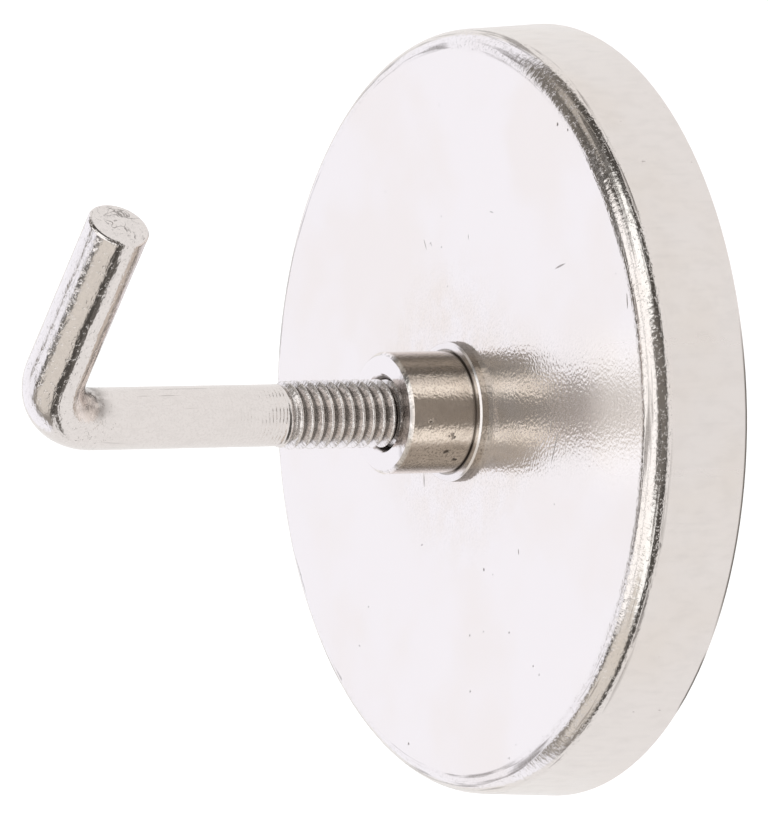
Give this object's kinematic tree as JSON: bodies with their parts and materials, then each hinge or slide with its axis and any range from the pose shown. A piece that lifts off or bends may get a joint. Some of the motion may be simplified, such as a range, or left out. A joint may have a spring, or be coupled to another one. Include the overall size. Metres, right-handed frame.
{
  "type": "pot magnet",
  "caption": "Round flat pot magnet: a shallow plated steel cup around a ferrite ring, with a central threaded bush and a bent screw hook.",
  "frame": {"origin": "centre of the magnetic face, on the plane of the cup's rim", "axes": "+Z out of the cup's closed face along the hook's shank; +X along the hook's arm, seen from above"},
  "size_m": [0.067, 0.067, 0.0518],
  "materials": {
    "cup_plating": "satin nickel plate on drawn steel",
    "bush_plating": "satin nickel plate on turned steel",
    "hook_plating": "nickel plate on drawn rod",
    "ferrite": "ground, matt dark grey",
    "spacer_plastic": "moulded, matt black"
  },
  "bodies": {
    "root": {"pot_cup": "cup_plating", "threaded_bush": "bush_plating", "screw_hook": "hook_plating", "ferrite_magnet": "ferrite", "spacer_ring": "spacer_plastic"}
  },
  "joints": []
}
